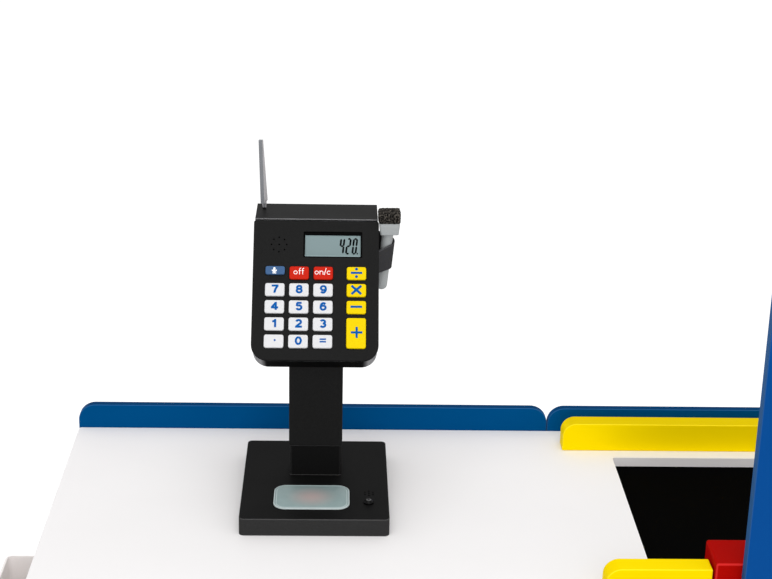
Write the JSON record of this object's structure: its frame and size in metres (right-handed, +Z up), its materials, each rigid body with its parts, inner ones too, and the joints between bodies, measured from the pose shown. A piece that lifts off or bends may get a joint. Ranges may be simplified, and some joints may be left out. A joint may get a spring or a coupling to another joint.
{
  "type": "toy market stall",
  "caption": "Toy market stall: panelled counter with a hand-cranked goods belt, a checkout terminal with pressable keys, microphone and aerial, a side bin and a sign frame.",
  "frame": {"origin": "middle of the stall's footprint, on the floor", "axes": "+Z up; +X to the right as the cashier sees it, towards the goods belt; +Y from the cashier to the customer"},
  "size_m": [1.03, 0.41, 1.1],
  "materials": {
    "white_laminate": "satin white laminate on board",
    "blue_lacquer": "satin lacquer on board",
    "yellow_lacquer": "satin lacquer on board",
    "red_lacquer": "satin lacquer on solid wood",
    "beech": "sanded",
    "birch_ply": "sanded",
    "belt_rubber": "matt",
    "nylon": "natural",
    "glide_plastic": "moulded",
    "bin_plastic": "moulded",
    "zinc_steel": "zinc plated",
    "black_lacquer": "fine matt",
    "black_plastic": "moulded",
    "window_acrylic": "frosted",
    "display_glass": "liquid crystal display",
    "circuit_board": "solder mask",
    "loop_elastic": "woven band",
    "grey_plastic": "moulded",
    "black_foam": "open-cell foam",
    "smoke_acrylic": "smoke tinted",
    "key_white": "moulded",
    "key_yellow": "moulded",
    "key_red": "moulded",
    "key_slate": "moulded"
  },
  "bodies": {
    "stall": {"counter_top": "white_laminate", "front_panel_left": "blue_lacquer", "front_panel_right": "blue_lacquer", "end_panel_left": "white_laminate", "end_panel_right": "white_laminate", "centre_panel": "white_laminate", "shelves": "white_laminate", "apron": "white_laminate", "bearer_board": "white_laminate", "floor_glides": "glide_plastic", "wood_screws": "zinc_steel", "side_bin": "bin_plastic", "belt_bed": "birch_ply", "belt": "belt_rubber", "roller_bushes": "nylon", "belt_rail_back": "yellow_lacquer", "belt_rails_front": "yellow_lacquer", "post_blocks": "red_lacquer", "uprights": "blue_lacquer", "header_board": "yellow_lacquer", "base_shell": "black_lacquer", "base_plate": "black_plastic", "scan_window": "window_acrylic", "scanner_board": "circuit_board", "column_socket": "black_lacquer", "column_tube": "black_lacquer", "head_shell": "black_lacquer", "head_face": "black_lacquer", "lcd_panel": "display_glass", "keypad_board": "circuit_board", "head_speaker": "black_plastic", "battery_door": "black_plastic", "mic_loop": "loop_elastic"},
    "belt_drive": {"drive_roller": "beech", "crank_wheel": "red_lacquer"},
    "belt_idler": {"idler_roller": "beech"},
    "crank_knob": {"crank_knob": "yellow_lacquer"},
    "scan_button": {"scan_button": "black_plastic"},
    "microphone": {"mic_body": "grey_plastic", "mic_foam": "black_foam"},
    "aerial": {"aerial": "smoke_acrylic"},
    "key_microphone": {"key_microphone": "key_slate"},
    "key_off": {"key_off": "key_red"},
    "key_on_clear": {"key_on_clear": "key_red"},
    "key_divide": {"key_divide": "key_yellow"},
    "key_7": {"key_7": "key_white"},
    "key_8": {"key_8": "key_white"},
    "key_9": {"key_9": "key_white"},
    "key_multiply": {"key_multiply": "key_yellow"},
    "key_4": {"key_4": "key_white"},
    "key_5": {"key_5": "key_white"},
    "key_6": {"key_6": "key_white"},
    "key_minus": {"key_minus": "key_yellow"},
    "key_1": {"key_1": "key_white"},
    "key_2": {"key_2": "key_white"},
    "key_3": {"key_3": "key_white"},
    "key_plus": {"key_plus": "key_yellow"},
    "key_point": {"key_point": "key_white"},
    "key_0": {"key_0": "key_white"},
    "key_equals": {"key_equals": "key_white"}
  },
  "joints": [
    {"name": "belt_crank", "type": "hinge", "parent": "stall", "child": "belt_drive", "pos_m": [0.061, -0.157, 0.4897], "axis": [0, 1, 0], "continuous": true},
    {"name": "idler_spin", "type": "hinge", "parent": "stall", "child": "belt_idler", "pos_m": [0.471, -0.157, 0.4897], "axis": [0, 1, 0], "continuous": true},
    {"name": "knob_spin", "type": "hinge", "parent": "belt_drive", "child": "crank_knob", "pos_m": [0.061, -0.184, 0.4627], "axis": [0, 1, 0], "continuous": true},
    {"name": "scan_press", "type": "slide", "parent": "stall", "child": "scan_button", "axis": [0, 0, -1], "range_m": [0, 0.0015], "stiffness_N_per_m": 500},
    {"name": "mic_lift", "type": "slide", "parent": "stall", "child": "microphone", "axis": [0.0958, 0, 0.9954], "range_m": [0, 0.07]},
    {"name": "aerial_swivel", "type": "hinge", "parent": "stall", "child": "aerial", "pos_m": [-0.2795, 0.076, 0.8027], "axis": [0, 0, 1], "range_deg": [-80, 80]},
    {"name": "press_microphone", "type": "slide", "parent": "stall", "child": "key_microphone", "axis": [0, 0.788, -0.6157], "range_m": [0, 0.0012], "stiffness_N_per_m": 500},
    {"name": "press_off", "type": "slide", "parent": "stall", "child": "key_off", "axis": [0, 0.788, -0.6157], "range_m": [0, 0.0012], "stiffness_N_per_m": 500},
    {"name": "press_on_clear", "type": "slide", "parent": "stall", "child": "key_on_clear", "axis": [0, 0.788, -0.6157], "range_m": [0, 0.0012], "stiffness_N_per_m": 500},
    {"name": "press_divide", "type": "slide", "parent": "stall", "child": "key_divide", "axis": [0, 0.788, -0.6157], "range_m": [0, 0.0012], "stiffness_N_per_m": 500},
    {"name": "press_7", "type": "slide", "parent": "stall", "child": "key_7", "axis": [0, 0.788, -0.6157], "range_m": [0, 0.0012], "stiffness_N_per_m": 500},
    {"name": "press_8", "type": "slide", "parent": "stall", "child": "key_8", "axis": [0, 0.788, -0.6157], "range_m": [0, 0.0012], "stiffness_N_per_m": 500},
    {"name": "press_9", "type": "slide", "parent": "stall", "child": "key_9", "axis": [0, 0.788, -0.6157], "range_m": [0, 0.0012], "stiffness_N_per_m": 500},
    {"name": "press_multiply", "type": "slide", "parent": "stall", "child": "key_multiply", "axis": [0, 0.788, -0.6157], "range_m": [0, 0.0012], "stiffness_N_per_m": 500},
    {"name": "press_4", "type": "slide", "parent": "stall", "child": "key_4", "axis": [0, 0.788, -0.6157], "range_m": [0, 0.0012], "stiffness_N_per_m": 500},
    {"name": "press_5", "type": "slide", "parent": "stall", "child": "key_5", "axis": [0, 0.788, -0.6157], "range_m": [0, 0.0012], "stiffness_N_per_m": 500},
    {"name": "press_6", "type": "slide", "parent": "stall", "child": "key_6", "axis": [0, 0.788, -0.6157], "range_m": [0, 0.0012], "stiffness_N_per_m": 500},
    {"name": "press_minus", "type": "slide", "parent": "stall", "child": "key_minus", "axis": [0, 0.788, -0.6157], "range_m": [0, 0.0012], "stiffness_N_per_m": 500},
    {"name": "press_1", "type": "slide", "parent": "stall", "child": "key_1", "axis": [0, 0.788, -0.6157], "range_m": [0, 0.0012], "stiffness_N_per_m": 500},
    {"name": "press_2", "type": "slide", "parent": "stall", "child": "key_2", "axis": [0, 0.788, -0.6157], "range_m": [0, 0.0012], "stiffness_N_per_m": 500},
    {"name": "press_3", "type": "slide", "parent": "stall", "child": "key_3", "axis": [0, 0.788, -0.6157], "range_m": [0, 0.0012], "stiffness_N_per_m": 500},
    {"name": "press_plus", "type": "slide", "parent": "stall", "child": "key_plus", "axis": [0, 0.788, -0.6157], "range_m": [0, 0.0012], "stiffness_N_per_m": 500},
    {"name": "press_point", "type": "slide", "parent": "stall", "child": "key_point", "axis": [0, 0.788, -0.6157], "range_m": [0, 0.0012], "stiffness_N_per_m": 500},
    {"name": "press_0", "type": "slide", "parent": "stall", "child": "key_0", "axis": [0, 0.788, -0.6157], "range_m": [0, 0.0012], "stiffness_N_per_m": 500},
    {"name": "press_equals", "type": "slide", "parent": "stall", "child": "key_equals", "axis": [0, 0.788, -0.6157], "range_m": [0, 0.0012], "stiffness_N_per_m": 500}
  ],
  "couplings": [
    {"joint": "idler_spin", "follows": "belt_crank", "ratio": 1}
  ]
}
